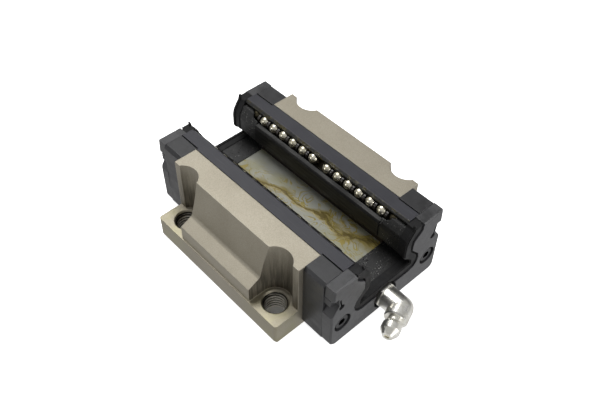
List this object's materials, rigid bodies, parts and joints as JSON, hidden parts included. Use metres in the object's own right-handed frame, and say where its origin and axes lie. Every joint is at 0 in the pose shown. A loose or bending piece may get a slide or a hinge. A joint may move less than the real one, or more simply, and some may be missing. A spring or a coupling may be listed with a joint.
{
  "type": "linear guide carriage",
  "caption": "Flanged recirculating-ball linear guide carriage with rail channel, moulded end caps, rail wipers and a bent grease nipple.",
  "frame": {"origin": "centre of the mounting face", "axes": "+Z out of the mounting face into the body, towards the rail channel; Y along the rail, with the grease nipple at -Y; X across"},
  "size_m": [0.07, 0.0976, 0.0294],
  "materials": {
    "body_steel": "ground and blasted warm grey steel, light oil film",
    "cap_plastic": "moulded dark grey plastic, satin",
    "plate_plastic": "moulded dark grey plastic, fine grain",
    "retainer_plastic": "smooth bluish dark grey plastic",
    "ledge_plastic": "near-black plastic, wet with oil",
    "floor_retainer_plastic": "dark brown plastic, oily",
    "guide_plastic": "moulded black plastic",
    "tube_plastic": "natural white plastic",
    "spacer_plastic": "dark grey plastic",
    "wiper_rubber": "black nitrile rubber",
    "ball_steel": "polished bearing steel",
    "screw_steel": "black oxide",
    "bush_brass": "turned brass",
    "spring_steel": "drawn spring wire",
    "nipple_metal": "bright nickel plate"
  },
  "bodies": {
    "carriage": {"end_screws": "screw_steel", "far_end_plate": "plate_plastic", "far_left_turn_guide": "guide_plastic", "far_port_plug": "screw_steel", "far_return_head": "cap_plastic", "far_right_turn_guide": "guide_plastic", "far_wiper": "wiper_rubber", "left_centre_retainer": "ledge_plastic", "left_floor_retainer": "floor_retainer_plastic", "left_lower_return_tube": "tube_plastic", "left_top_retainer": "retainer_plastic", "left_upper_return_tube": "tube_plastic", "near_end_plate": "plate_plastic", "near_left_turn_guide": "guide_plastic", "near_port_bush": "bush_brass", "near_return_head": "cap_plastic", "near_right_turn_guide": "guide_plastic", "near_wiper": "wiper_rubber", "right_centre_retainer": "ledge_plastic", "right_floor_retainer": "floor_retainer_plastic", "right_lower_return_tube": "tube_plastic", "right_top_retainer": "retainer_plastic", "right_upper_return_tube": "tube_plastic", "saddle_plate": "body_steel"},
    "nipple": {"nipple_elbow": "nipple_metal", "nipple_head": "nipple_metal", "nipple_spring": "spring_steel"},
    "valve": {"nipple_valve_ball": "ball_steel"},
    "left_upper_load": {"left_upper_load_balls": "ball_steel", "left_upper_load_spacers": "spacer_plastic"},
    "left_upper_return": {"left_upper_return_balls": "ball_steel", "left_upper_return_spacers": "spacer_plastic"},
    "left_upper_near_turn": {"left_upper_near_turn_balls": "ball_steel", "left_upper_near_turn_spacers": "spacer_plastic"},
    "left_upper_far_turn": {"left_upper_far_turn_balls": "ball_steel", "left_upper_far_turn_spacers": "spacer_plastic"},
    "left_lower_load": {"left_lower_load_balls": "ball_steel", "left_lower_load_spacers": "spacer_plastic"},
    "left_lower_return": {"left_lower_return_balls": "ball_steel", "left_lower_return_spacers": "spacer_plastic"},
    "left_lower_near_turn": {"left_lower_near_turn_balls": "ball_steel", "left_lower_near_turn_spacers": "spacer_plastic"},
    "left_lower_far_turn": {"left_lower_far_turn_balls": "ball_steel", "left_lower_far_turn_spacers": "spacer_plastic"},
    "right_upper_load": {"right_upper_load_balls": "ball_steel", "right_upper_load_spacers": "spacer_plastic"},
    "right_upper_return": {"right_upper_return_balls": "ball_steel", "right_upper_return_spacers": "spacer_plastic"},
    "right_upper_near_turn": {"right_upper_near_turn_balls": "ball_steel", "right_upper_near_turn_spacers": "spacer_plastic"},
    "right_upper_far_turn": {"right_upper_far_turn_balls": "ball_steel", "right_upper_far_turn_spacers": "spacer_plastic"},
    "right_lower_load": {"right_lower_load_balls": "ball_steel", "right_lower_load_spacers": "spacer_plastic"},
    "right_lower_return": {"right_lower_return_balls": "ball_steel", "right_lower_return_spacers": "spacer_plastic"},
    "right_lower_near_turn": {"right_lower_near_turn_balls": "ball_steel", "right_lower_near_turn_spacers": "spacer_plastic"},
    "right_lower_far_turn": {"right_lower_far_turn_balls": "ball_steel", "right_lower_far_turn_spacers": "spacer_plastic"}
  },
  "joints": [
    {"name": "left_upper_load_travel", "type": "slide", "parent": "carriage", "child": "left_upper_load", "axis": [0, 1, 0], "range_m": [-0.0009, 0.0009]},
    {"name": "left_upper_return_travel", "type": "slide", "parent": "carriage", "child": "left_upper_return", "axis": [0, 1, 0], "range_m": [-0.0009, 0.0009]},
    {"name": "left_upper_near_turn", "type": "hinge", "parent": "carriage", "child": "left_upper_near_turn", "pos_m": [-0.01567, -0.0304, 0.02372], "axis": [-0.342, 0, 0.9397], "range_deg": [-12, 12]},
    {"name": "left_upper_far_turn", "type": "hinge", "parent": "carriage", "child": "left_upper_far_turn", "pos_m": [-0.01567, 0.0304, 0.02372], "axis": [-0.342, 0, 0.9397], "range_deg": [-12, 12]},
    {"name": "left_lower_load_travel", "type": "slide", "parent": "carriage", "child": "left_lower_load", "axis": [0, 1, 0], "range_m": [-0.0009, 0.0009]},
    {"name": "left_lower_return_travel", "type": "slide", "parent": "carriage", "child": "left_lower_return", "axis": [0, 1, 0], "range_m": [-0.0009, 0.0009]},
    {"name": "left_lower_near_turn", "type": "hinge", "parent": "carriage", "child": "left_lower_near_turn", "pos_m": [-0.01531, -0.0304, 0.01622], "axis": [-0.0872, 0, 0.9962], "range_deg": [-12, 12]},
    {"name": "left_lower_far_turn", "type": "hinge", "parent": "carriage", "child": "left_lower_far_turn", "pos_m": [-0.01531, 0.0304, 0.01622], "axis": [-0.0872, 0, 0.9962], "range_deg": [-12, 12]},
    {"name": "right_upper_load_travel", "type": "slide", "parent": "carriage", "child": "right_upper_load", "axis": [0, 1, 0], "range_m": [-0.0009, 0.0009]},
    {"name": "right_upper_return_travel", "type": "slide", "parent": "carriage", "child": "right_upper_return", "axis": [0, 1, 0], "range_m": [-0.0009, 0.0009]},
    {"name": "right_upper_near_turn", "type": "hinge", "parent": "carriage", "child": "right_upper_near_turn", "pos_m": [0.01567, -0.0304, 0.02372], "axis": [-0.342, 0, -0.9397], "range_deg": [-12, 12]},
    {"name": "right_upper_far_turn", "type": "hinge", "parent": "carriage", "child": "right_upper_far_turn", "pos_m": [0.01567, 0.0304, 0.02372], "axis": [-0.342, 0, -0.9397], "range_deg": [-12, 12]},
    {"name": "right_lower_load_travel", "type": "slide", "parent": "carriage", "child": "right_lower_load", "axis": [0, 1, 0], "range_m": [-0.0009, 0.0009]},
    {"name": "right_lower_return_travel", "type": "slide", "parent": "carriage", "child": "right_lower_return", "axis": [0, 1, 0], "range_m": [-0.0009, 0.0009]},
    {"name": "right_lower_near_turn", "type": "hinge", "parent": "carriage", "child": "right_lower_near_turn", "pos_m": [0.01531, -0.0304, 0.01622], "axis": [-0.0872, 0, -0.9962], "range_deg": [-12, 12]},
    {"name": "right_lower_far_turn", "type": "hinge", "parent": "carriage", "child": "right_lower_far_turn", "pos_m": [0.01531, 0.0304, 0.01622], "axis": [-0.0872, 0, -0.9962], "range_deg": [-12, 12]},
    {"name": "nipple_swivel", "type": "hinge", "parent": "carriage", "child": "nipple", "pos_m": [0, -0.0491, 0.0059], "axis": [0, 1, 0], "range_deg": [0, 180]},
    {"name": "valve_ball_travel", "type": "slide", "parent": "nipple", "child": "valve", "axis": [0.9367, 0.3502, 0], "range_m": [0, 0.0009], "stiffness_N_per_m": 150, "springref_m": -0.0005, "deforming": ["nipple_spring"]}
  ],
  "couplings": [
    {"joint": "left_upper_return_travel", "follows": "left_upper_load_travel", "ratio": -1},
    {"joint": "left_upper_near_turn", "follows": "left_upper_load_travel", "rad_per_m": 230.95},
    {"joint": "left_upper_far_turn", "follows": "left_upper_load_travel", "rad_per_m": 230.95},
    {"joint": "left_lower_return_travel", "follows": "left_lower_load_travel", "ratio": -1},
    {"joint": "left_lower_near_turn", "follows": "left_lower_load_travel", "rad_per_m": 230.95},
    {"joint": "left_lower_far_turn", "follows": "left_lower_load_travel", "rad_per_m": 230.95},
    {"joint": "right_upper_return_travel", "follows": "right_upper_load_travel", "ratio": -1},
    {"joint": "right_upper_near_turn", "follows": "right_upper_load_travel", "rad_per_m": 230.95},
    {"joint": "right_upper_far_turn", "follows": "right_upper_load_travel", "rad_per_m": 230.95},
    {"joint": "right_lower_return_travel", "follows": "right_lower_load_travel", "ratio": -1},
    {"joint": "right_lower_near_turn", "follows": "right_lower_load_travel", "rad_per_m": 230.95},
    {"joint": "right_lower_far_turn", "follows": "right_lower_load_travel", "rad_per_m": 230.95}
  ]
}
